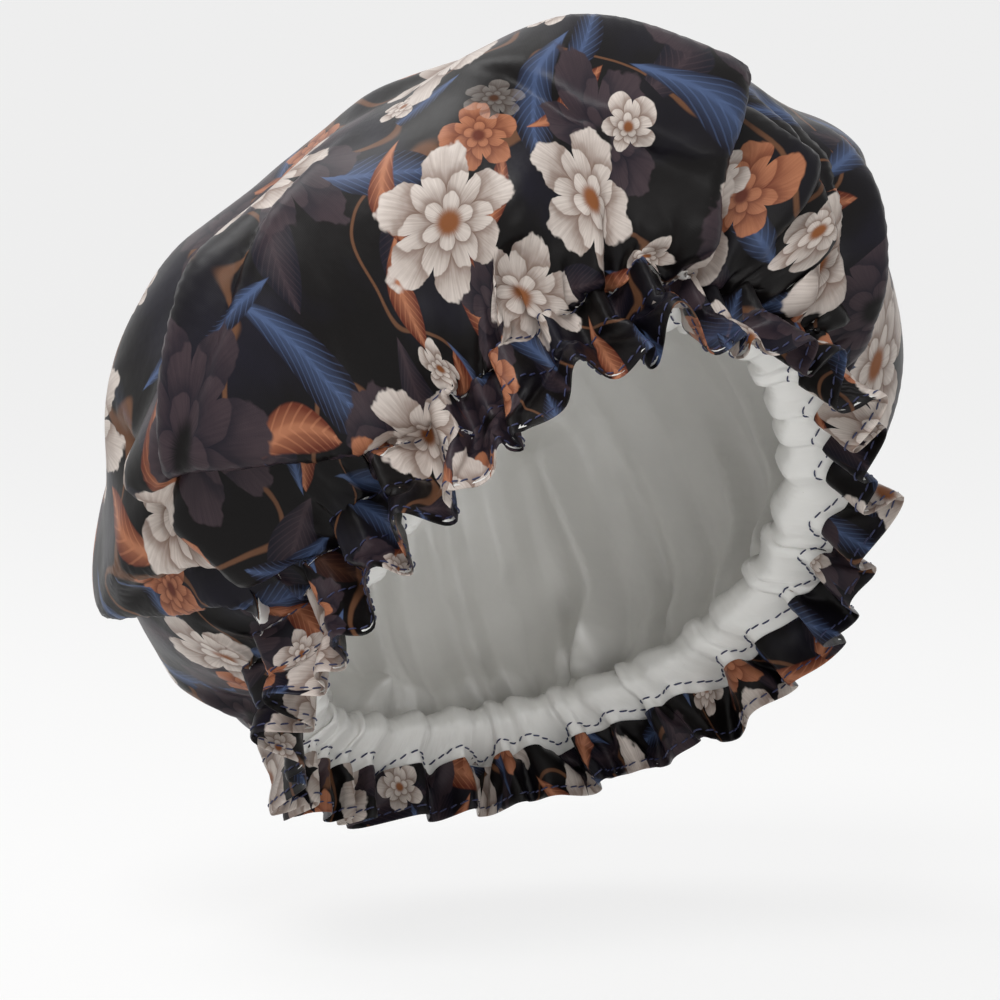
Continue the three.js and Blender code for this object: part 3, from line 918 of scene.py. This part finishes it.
class CAP_OT_stitches(bpy.types.Operator):
    """Sew the two rows of casing stitches and the row of hem stitches"""

    bl_idname = "object.cap_stitches"
    bl_label = "Rows of stitches"

    def execute(self, context):
        cap = context.scene.cap_sizes
        material = thread_material("navy_thread", context.scene.cap_colours.thread)
        step = cap.ruffle_depth / RUFFLE_ROWS
        film = 0.1 * MM
        rows = (
            ("casing_upper", "lining_film", CROWN_ROWS, 0, film, 11),
            ("casing_lower", "lining_film", CROWN_ROWS + CASING_ROWS, 0, film, 12),
            ("hem", "crown_cloth", ROWS, cap.hem_depth / step, cap.facing_inset, 13),
        )
        for name, inner_sheet, row, up_share, inset, seed in rows:
            upper, upper_faces = stitch_row(cap, "crown_cloth", row, up_share, 0, seed)
            lower, lower_faces = stitch_row(cap, inner_sheet, row, up_share, inset, seed)
            faces = np.vstack([upper_faces, lower_faces + len(upper)])
            thread = mesh_object(f"{name}_thread", np.vstack([upper, lower]), faces)
            dress(thread, f"{name}_stitch", material)
        return {"FINISHED"}


class Nodes:
    """Adds nodes to a tree. An input that is given a socket is linked to it, and any other value is set."""

    def __init__(self, tree):
        self.tree = tree

    def put(self, node, inputs):
        """Set or link a node's inputs by name or number."""
        for key, value in dict(inputs).items():
            if isinstance(value, bpy.types.NodeSocket):
                self.tree.links.new(value, node.inputs[key])
            else:
                node.inputs[key].default_value = value

    def add(self, kind, inputs=(), **settings):
        """Node of a kind with its settings and its inputs."""
        node = self.tree.nodes.new(kind)
        for name, value in settings.items():
            setattr(node, name, value)
        self.put(node, inputs)
        return node

    def math(self, operation, *values, clamp=False):
        """Math node's value."""
        settings = {"operation": operation, "use_clamp": clamp}
        return self.add("ShaderNodeMath", enumerate(values), **settings).outputs[0]

    def vector(self, operation, *values):
        """Vector Math node's vector."""
        return self.add("ShaderNodeVectorMath", enumerate(values), operation=operation).outputs[0]

    def scale(self, vector, amount):
        """Vector times a number."""
        node = self.add("ShaderNodeVectorMath", {0: vector, "Scale": amount}, operation="SCALE")
        return node.outputs[0]

    def mix(self, factor, first, second, blend="MIX"):
        """Colour mixed from two by a factor."""
        inputs = {0: factor, 6: first, 7: second}
        return self.add("ShaderNodeMix", inputs, data_type="RGBA", blend_type=blend).outputs[2]

    def ease(self, value, low, high):
        """Smooth step from 0 at one value to 1 at another."""
        inputs = {"Value": value, "From Min": low, "From Max": high}
        return self.add("ShaderNodeMapRange", inputs, interpolation_type="SMOOTHSTEP").outputs[0]

    def noise(self, vector, scale, detail=2.0, roughness=0.5):
        """Noise value over two dimensions."""
        inputs = {"Vector": vector, "Scale": scale, "Detail": detail, "Roughness": roughness}
        return self.add("ShaderNodeTexNoise", inputs, noise_dimensions="2D").outputs[0]

    def group(self, tree, inputs):
        """Placed node group's outputs."""
        return self.add("ShaderNodeGroup", inputs, node_tree=tree).outputs


def opaque(rgb):
    """Colour with full alpha, as a socket takes it."""
    return (*rgb, 1.0)


def node_group(name, inputs, outputs):
    """New shader node group with sockets by name and kind: tree, nodes, inputs and a way to set outputs."""
    tree = bpy.data.node_groups.new(name, "ShaderNodeTree")
    for in_out, sockets in (("INPUT", inputs), ("OUTPUT", outputs)):
        for socket_name, kind in sockets.items():
            tree.interface.new_socket(name=socket_name, in_out=in_out, socket_type=f"NodeSocket{kind}")
    nodes = Nodes(tree)
    start = nodes.add("NodeGroupInput").outputs
    end = nodes.add("NodeGroupOutput").inputs
    return tree, nodes, start, lambda name, socket: tree.links.new(socket, end[name])


def cell_axes(nodes, vector, cell, shift, evenness, slant):
    """Own axes of scattered motifs, one to a cell: across, along, distance, angle and three chances.

    The place is divided by the cell's size, the nearest scattered point taken from it, and the rest turned
    by chance. A slant stretches the along axis by chance, so that some motifs look tipped over.
    """
    place = nodes.scale(nodes.vector("ADD", vector, shift), nodes.math("DIVIDE", 1.0, cell))
    inputs = {"Vector": place, "Scale": 1.0, "Randomness": evenness}
    scatter = nodes.add("ShaderNodeTexVoronoi", inputs, voronoi_dimensions="2D")
    chances = nodes.add("ShaderNodeSeparateColor", {0: scatter.outputs["Color"]}).outputs
    apart = nodes.vector("SUBTRACT", place, scatter.outputs["Position"])
    turned = nodes.add(
        "ShaderNodeVectorRotate",
        {"Vector": apart, "Angle": nodes.math("MULTIPLY", chances[1], 2 * math.pi)},
        rotation_type="Z_AXIS",
    )
    across, along, _ = nodes.add("ShaderNodeSeparateXYZ", {0: turned.outputs[0]}).outputs
    along = nodes.math("MULTIPLY", along, nodes.math("MULTIPLY_ADD", chances[2], slant, 1.0))
    squares = [nodes.math("POWER", axis, 2.0) for axis in (across, along)]
    distance = nodes.math("SQRT", nodes.math("ADD", *squares))
    angle = nodes.math("ARCTAN2", along, across)
    return SimpleNamespace(across=across, along=along, distance=distance, angle=angle, chances=chances)


def blossom_group():
    """Scattered blossoms with three rings of petals.

    A ring's edge is a share of the blossom's reach that swings with the cosine of the angle times half the
    count of petals. Light falls off towards each petal's foot and sides, with streaks along the petal.
    """
    tree, nodes, start, put = node_group(
        "scattered_blossoms",
        {"Place": "Vector", "Cell": "Float", "Reach": "Float", "Shift": "Vector"},
        {"Mask": "Float", "Light": "Float", "Heart": "Float", "Chance": "Float"},
    )
    axes = cell_axes(nodes, start["Place"], start["Cell"], start["Shift"], 0.7, 0.7)
    petals = nodes.math("FLOOR", nodes.math("MULTIPLY_ADD", axes.chances[0], 4.0, 5.0))
    reach = nodes.math("MULTIPLY", start["Reach"], nodes.math("MULTIPLY_ADD", axes.chances[2], 0.45, 0.7))
    ripple = nodes.noise(nodes.vector("ADD", start["Place"], start["Shift"]), 160.0, 2.0)
    half_turn = nodes.math("MULTIPLY", nodes.math("MULTIPLY", axes.angle, petals), 0.5)
    wound = nodes.math("MULTIPLY", axes.angle, 7.0)
    streak_place = nodes.add("ShaderNodeCombineXYZ", {0: wound, 1: axes.distance})
    streak = nodes.noise(streak_place.outputs[0], 3.0, 3.0, 0.6)
    light = None
    for share, offset, foot in ((1.0, 0.0, 0.45), (0.68, math.pi / 2, 0.35), (0.36, 0.6, 0.2)):
        wave = nodes.math("ABSOLUTE", nodes.math("COSINE", nodes.math("ADD", half_turn, offset)))
        lobe = nodes.math("MULTIPLY_ADD", nodes.math("POWER", wave, 0.6), 0.5, 0.5)
        uneven = nodes.math("MULTIPLY_ADD", ripple, 0.30, 0.85)
        ring = nodes.math("MULTIPLY", reach, share)
        edge = nodes.math("MULTIPLY", ring, nodes.math("MULTIPLY", lobe, uneven))
        part = nodes.math("DIVIDE", axes.distance, edge)
        rise = nodes.ease(part, foot - 0.25, foot + 0.55)
        sides = nodes.math("MULTIPLY_ADD", nodes.math("POWER", wave, 0.7), 0.6, 0.4)
        lined = nodes.math("MULTIPLY_ADD", streak, 0.9, 0.5)
        value = nodes.math("MULTIPLY", nodes.math("MULTIPLY", rise, sides), lined, clamp=True)
        cover = nodes.ease(part, 1.0, 0.95)
        if light is None:
            light = value
            put("Mask", cover)
        else:
            shadow = nodes.ease(part, 0.9, 1.35)
            under = nodes.math("MULTIPLY", light, nodes.math("MULTIPLY_ADD", shadow, 0.6, 0.4))
            node = nodes.add("ShaderNodeMix", {0: cover, 2: under, 3: value}, data_type="FLOAT")
            light = node.outputs[0]
    put("Light", light)
    heart = nodes.math("DIVIDE", axes.distance, reach)
    put("Heart", nodes.ease(nodes.math("ADD", heart, nodes.math("MULTIPLY", streak, 0.1)), 0.27, 0.14))
    put("Chance", axes.chances[0])
    return tree


def leaf_group():
    """Scattered pointed leaves.

    A leaf's half width is its broadest times one less the square of the way along it. Veins are a sine of
    the way along plus the distance from the midrib, and the leaf bends with the square of its length.
    """
    sizes = {"Cell": "Float", "Half Length": "Float", "Half Width": "Float"}
    tree, nodes, start, put = node_group(
        "scattered_leaves",
        {"Place": "Vector", **sizes, "Shift": "Vector"},
        {"Mask": "Float", "Light": "Float", "Chance": "Float"},
    )
    axes = cell_axes(nodes, start["Place"], start["Cell"], start["Shift"], 0.75, 0.0)
    along = nodes.math("DIVIDE", axes.along, start["Half Length"])
    square = nodes.math("MULTIPLY", along, along)
    bend = nodes.math("MULTIPLY", square, nodes.math("MULTIPLY_ADD", axes.chances[2], 0.24, -0.12))
    across = nodes.math("ADD", axes.across, bend)
    taper = nodes.math("SUBTRACT", 1.0, square, clamp=True)
    uneven = nodes.math("MULTIPLY_ADD", axes.chances[0], 0.6, 0.7)
    broad = nodes.math("MULTIPLY", start["Half Width"], uneven)
    narrowing = nodes.math("MULTIPLY_ADD", along, -0.35, 0.8)
    half = nodes.math("MULTIPLY", broad, nodes.math("MULTIPLY", taper, narrowing))
    side = nodes.math("ABSOLUTE", across)
    put("Mask", nodes.ease(nodes.math("SUBTRACT", half, side), 0.0, 0.012))
    slanted = nodes.math("MULTIPLY_ADD", side, 1.8, axes.along)
    vein = nodes.math("SINE", nodes.math("MULTIPLY", slanted, 95.0))
    rib = nodes.ease(side, 0.022, 0.006)
    part = nodes.math("DIVIDE", side, nodes.math("MAXIMUM", half, 0.001), clamp=True)
    glow = nodes.math("MULTIPLY_ADD", nodes.ease(part, 1.0, 0.1), 0.5, nodes.math("MULTIPLY", along, 0.25))
    fine = nodes.math("MULTIPLY_ADD", nodes.ease(vein, 0.55, 1.0), 0.35, glow)
    put("Light", nodes.math("MULTIPLY_ADD", rib, 0.35, fine, clamp=True))
    put("Chance", axes.chances[0])
    return tree


def crumple_group():
    """Height of small creases: facets of scattered cells on a wavering place, with a soft unevenness."""
    sockets = {"Place": "Vector", "Size": "Float"}
    tree, nodes, start, put = node_group("crumple", sockets, {"Height": "Float"})
    scale = nodes.math("DIVIDE", 1.0, start["Size"])
    inputs = {"Vector": start["Place"], "Scale": scale, "Detail": 1.0}
    waver = nodes.add("ShaderNodeTexNoise", inputs, noise_dimensions="2D")
    place = nodes.vector("ADD", start["Place"], nodes.scale(waver.outputs["Color"], start["Size"]))
    inputs = {"Vector": place, "Scale": nodes.math("MULTIPLY", scale, 0.6)}
    facets = nodes.add("ShaderNodeTexVoronoi", inputs, voronoi_dimensions="2D")
    soft = nodes.noise(start["Place"], nodes.math("MULTIPLY", scale, 2.0), 3.0)
    uneven = nodes.math("MULTIPLY", soft, 0.5)
    put("Height", nodes.math("MULTIPLY_ADD", facets.outputs["Distance"], 0.7, uneven))
    return tree


def weave_group():
    """Height of a plain weave: the product of two crossed sines, one for each set of yarns."""
    sockets = {"Place": "Vector", "Yarn": "Float"}
    tree, nodes, start, put = node_group("plain_weave", sockets, {"Height": "Float"})
    x, y, _ = nodes.add("ShaderNodeSeparateXYZ", {0: start["Place"]}).outputs
    turns = nodes.math("DIVIDE", 2 * math.pi, start["Yarn"])
    warp = nodes.math("SINE", nodes.math("MULTIPLY", x, turns))
    weft = nodes.math("SINE", nodes.math("MULTIPLY", y, turns))
    put("Height", nodes.math("MULTIPLY", warp, weft))
    return tree


def shared_height(nodes, name, make, inputs):
    """Height from a node group of a name, which a function makes the first time."""
    tree = bpy.data.node_groups.get(name) or make()
    return nodes.group(tree, inputs)["Height"]


def crumpled(nodes, place, size):
    """Height of small creases."""
    return shared_height(nodes, "crumple", crumple_group, {"Place": place, "Size": size})


def woven(nodes, place, yarn):
    """Height of a plain weave."""
    return shared_height(nodes, "plain_weave", weave_group, {"Place": place, "Yarn": yarn})


def bumped(nodes, height, strength, distance):
    """Normal of a surface with a height."""
    inputs = {"Strength": strength, "Distance": distance, "Height": height}
    return nodes.add("ShaderNodeBump", inputs).outputs[0]


def new_material(name):
    """New material with nodes: material, nodes and Principled shader."""
    material = bpy.data.materials.new(name)
    material.use_nodes = True
    nodes = Nodes(material.node_tree)
    shader = material.node_tree.nodes["Principled BSDF"]
    return material, nodes, shader


def cut_place(nodes, across):
    """Place on the flat cut in metres from its middle, read from the cloth's UV map."""
    uv = nodes.add("ShaderNodeUVMap", uv_map="cut").outputs[0]
    return nodes.scale(nodes.vector("SUBTRACT", uv, (0.5, 0.5, 0.0)), across)


def overprint(nodes, printed, motif, tone, common):
    """Print with one scatter of motifs over it, of which a common share is there."""
    chosen = nodes.ease(motif["Chance"], common + 0.02, common - 0.02)
    return nodes.mix(nodes.math("MULTIPLY", motif["Mask"], chosen), printed, tone)


def print_material(colours, across):
    """Dark satin cloth with a printed scatter of blossoms and leaves, crumpled and finely woven."""
    material, nodes, shader = new_material("printed_satin")
    place = cut_place(nodes, across)
    cloudy = nodes.noise(place, 22.0, 3.0)
    ground = nodes.mix(nodes.ease(cloudy, 0.45, 0.75), opaque(colours.ground), opaque(colours.navy))
    leaves, blossoms = leaf_group(), blossom_group()

    line = nodes.math("ABSOLUTE", nodes.math("SUBTRACT", nodes.noise(place, 16.0, 1.0), 0.5))
    printed = nodes.mix(nodes.ease(line, 0.012, 0.004), ground, opaque(colours.stem))
    for shade, lit, cell, half_length, half_width, shift, common in (
        (colours.navy, colours.plum, 0.046, 0.46, 0.19, (2.91, 0.66, 0), 0.85),
        (colours.navy, colours.slate, 0.058, 0.46, 0.17, (0.31, 0.17, 0), 0.72),
        (colours.rust, colours.peach, 0.052, 0.38, 0.14, (0.83, 0.41, 0), 0.42),
        (colours.navy, colours.slate, 0.041, 0.42, 0.15, (1.27, 0.96, 0), 0.50),
        (colours.rust, colours.peach, 0.066, 0.30, 0.12, (1.71, 1.33, 0), 0.48),
    ):
        inputs = {"Place": place, "Cell": cell, "Shift": shift}
        leaf = nodes.group(leaves, {**inputs, "Half Length": half_length, "Half Width": half_width})
        tone = nodes.mix(leaf["Light"], opaque(shade), opaque(lit))
        printed = overprint(nodes, printed, leaf, tone, common)
    for shade, lit, heart, cell, reach, shift, common in (
        (colours.navy, colours.plum, colours.ground, 0.068, 0.48, (3.19, 0.27, 0), 0.60),
        (colours.rust, colours.peach, colours.rust, 0.060, 0.30, (2.13, 0.52, 0), 0.40),
        (colours.petal_shade, colours.petal, colours.heart, 0.046, 0.27, (3.71, 1.92, 0), 0.36),
        (colours.petal_shade, colours.petal, colours.heart, 0.076, 0.44, (2.57, 1.15, 0), 0.74),
    ):
        bloom = nodes.group(blossoms, {"Place": place, "Cell": cell, "Reach": reach, "Shift": shift})
        tone = nodes.mix(bloom["Light"], opaque(shade), opaque(lit))
        tone = nodes.mix(bloom["Heart"], tone, opaque(heart))
        printed = overprint(nodes, printed, bloom, tone, common)

    creases = crumpled(nodes, place, 0.034)
    height = nodes.math("MULTIPLY_ADD", woven(nodes, place, 0.0007), 0.012, creases)
    gloss = nodes.noise(place, 60.0, 3.0)
    nodes.put(shader, {
        "Base Color": printed,
        "Roughness": nodes.math("MULTIPLY_ADD", gloss, 0.12, 0.30),
        "Specular IOR Level": 0.13,
        "Normal": bumped(nodes, height, 0.3, 0.0024),
    })
    return material


def film_material(colours, across):
    """Milky waterproof film with soft crumples and slightly uneven gloss."""
    material, nodes, shader = new_material("milky_film")
    place = cut_place(nodes, across)
    cloudy = nodes.noise(place, 45.0, 3.0)
    dim = tuple(0.9 * part for part in colours.film)
    nodes.put(shader, {
        "Base Color": nodes.mix(cloudy, opaque(dim), opaque(colours.film)),
        "Roughness": nodes.math("MULTIPLY_ADD", cloudy, 0.2, 0.25),
        "Normal": bumped(nodes, crumpled(nodes, place, 0.014), 0.4, 0.001),
    })
    return material


def elastic_material(colours):
    """Woven elastic: a close weave of pale yarn that shows in its tint, gloss and height."""
    material, nodes, shader = new_material("woven_elastic")
    weave = woven(nodes, nodes.add("ShaderNodeTexCoord").outputs["Object"], 0.0009)
    dim = tuple(0.8 * part for part in colours.rubber)
    nodes.put(shader, {
        "Base Color": nodes.mix(nodes.ease(weave, -1.0, 1.0), opaque(dim), opaque(colours.rubber)),
        "Roughness": nodes.math("MULTIPLY_ADD", weave, 0.05, 0.75),
        "Normal": bumped(nodes, weave, 0.5, 0.0003),
    })
    return material


def thread_material(name, tint):
    """Thread of fine light and dark fibres, a noise that shows in its tint, gloss and height."""
    material, nodes, shader = new_material(name)
    place = nodes.add("ShaderNodeTexCoord").outputs["Object"]
    fibres = nodes.add("ShaderNodeTexNoise", {"Vector": place, "Scale": 2600.0, "Detail": 2.0}).outputs[0]
    pale = tuple(min(1.0, 1.9 * part + 0.01) for part in tint)
    nodes.put(shader, {
        "Base Color": nodes.mix(nodes.ease(fibres, 0.35, 0.75), opaque(tint), opaque(pale)),
        "Roughness": nodes.math("MULTIPLY_ADD", fibres, 0.2, 0.45),
        "Normal": bumped(nodes, fibres, 0.4, 0.0002),
    })
    return material


class CAP_OT_stage(bpy.types.Operator):
    """Set the floor, the soft studio light and the camera"""

    bl_idname = "object.cap_stage"
    bl_label = "Floor, light and camera"

    def execute(self, context):
        scene = context.scene
        stage = scene.cap_stage
        add_floor(stage, scene.cap_colours)
        add_world(scene)
        add_lamp("key_softbox", (-0.95, -0.90, 1.50), 0.7, 20)
        add_lamp("fill_softbox", (-0.25, -1.6, -0.05), 0.8, 6)
        add_lamp("top_softbox", (-0.5, 0.7, 1.4), 0.8, 12)
        add_camera(scene, stage)
        scene.view_settings.view_transform = "Standard"
        return {"FINISHED"}


def see_white(nodes):
    """Factor that is 1 for rays of the camera and of glossy or clear surfaces."""
    light = nodes.add("ShaderNodeLightPath").outputs
    seen = nodes.math("MAXIMUM", light["Is Camera Ray"], light["Is Glossy Ray"])
    return nodes.math("MAXIMUM", seen, light["Is Transmission Ray"])


def add_floor(stage, colours):
    """Pale floor under the cap: a wide grid that rises smoothly far behind, almost white to the camera."""
    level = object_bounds()[0][2] - stage.floor_drop
    across, along = np.meshgrid(np.linspace(-4, 4, 9), np.linspace(-3, 5, 41))
    rise = 0.3 * np.clip(along - 3, 0, None) ** 2
    points = np.stack([across, along, level + rise], -1).reshape(-1, 3)
    floor = mesh_object("floor", points, grid_faces(41, 9)[:, ::-1])
    material, nodes, shader = new_material("pale_floor")
    place = nodes.add("ShaderNodeTexCoord").outputs["Object"]
    dim = tuple(0.97 * part for part in colours.floor)
    nodes.put(shader, {
        "Base Color": nodes.mix(nodes.noise(place, 3.0), opaque(dim), opaque(colours.floor)),
        "Roughness": 0.9,
    })
    white = nodes.add("ShaderNodeEmission", {"Color": (1, 1, 1, 1), "Strength": 1.0})
    factor = nodes.math("MULTIPLY", see_white(nodes), 0.8)
    blend = nodes.add("ShaderNodeMixShader", {0: factor, 1: shader.outputs[0], 2: white.outputs[0]})
    nodes.put(material.node_tree.nodes["Material Output"], {"Surface": blend.outputs[0]})
    floor.data.materials.append(material)
    floor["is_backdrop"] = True


def add_world(scene):
    """World that lights the cap softly and is white to the camera."""
    world = bpy.data.worlds.new("soft_studio")
    world.use_nodes = True
    nodes = Nodes(world.node_tree)
    background = world.node_tree.nodes["Background"]
    strength = nodes.math("MULTIPLY_ADD", see_white(nodes), 0.75, 0.25)
    nodes.put(background, {"Color": (1, 1, 1, 1), "Strength": strength})
    scene.world = world


def add_lamp(name, place, size, energy):
    """Square soft lamp that points at the cap."""
    lamp = bpy.data.lights.new(name, "AREA")
    lamp.size = size
    lamp.energy = energy
    obj = bpy.data.objects.new(name, lamp)
    obj.location = place
    obj.rotation_euler = (-Vector(place)).to_track_quat("-Z", "Y").to_euler()
    bpy.context.scene.collection.objects.link(obj)


def add_camera(scene, stage):
    """Camera round the cap by azimuth and above it by elevation, moved sideways and up to frame it."""
    level = math.cos(stage.elevation)
    back = Vector((
        math.sin(stage.azimuth) * level,
        -math.cos(stage.azimuth) * level,
        math.sin(stage.elevation),
    ))
    right = Vector((math.cos(stage.azimuth), math.sin(stage.azimuth), 0))
    up = back.cross(right)
    camera = bpy.data.cameras.new("photo_view")
    camera.sensor_width = 36
    camera.lens = camera.sensor_width * stage.distance / stage.frame_width
    obj = bpy.data.objects.new("photo_view", camera)
    obj.location = back * stage.distance + right * stage.aim_right + up * stage.aim_up
    obj.rotation_euler = (-back).to_track_quat("-Z", "Y").to_euler()
    scene.collection.objects.link(obj)
    scene.camera = obj


class CAP_PT_panel(bpy.types.Panel):
    """Sidebar panel with the cap's pieces"""

    bl_idname = "CAP_PT_panel"
    bl_label = "Shower Cap"
    bl_space_type = "VIEW_3D"
    bl_region_type = "UI"
    bl_category = "Shower Cap"

    def draw(self, context):
        for operator in PIECES:
            self.layout.operator(operator.bl_idname)
        for group in (context.scene.cap_sizes, context.scene.cap_colours, context.scene.cap_stage):
            box = self.layout.box()
            for name in group.__annotations__:
                box.prop(group, name)


GROUPS = {"cap_sizes": CapSizes, "cap_colours": CapColours, "cap_stage": CapStage}
PIECES = (CAP_OT_elastic, CAP_OT_outer_crown, CAP_OT_inner_lining, CAP_OT_stitches, CAP_OT_stage)


def register():
    """Register the property groups, operators and panel."""
    for name, group in GROUPS.items():
        bpy.utils.register_class(group)
        setattr(bpy.types.Scene, name, PointerProperty(type=group))
    for operator in PIECES:
        bpy.utils.register_class(operator)
    bpy.utils.register_class(CAP_PT_panel)


def unregister():
    """Undo register, last first."""
    bpy.utils.unregister_class(CAP_PT_panel)
    for operator in reversed(PIECES):
        bpy.utils.unregister_class(operator)
    for name, group in reversed(GROUPS.items()):
        delattr(bpy.types.Scene, name)
        bpy.utils.unregister_class(group)


def main():
    """Build every piece in order."""
    register()
    bpy.ops.object.cap_elastic()
    bpy.ops.object.cap_outer_crown()
    bpy.ops.object.cap_inner_lining()
    bpy.ops.object.cap_stitches()
    bpy.ops.object.cap_stage()


if __name__ == "__main__":
    main()
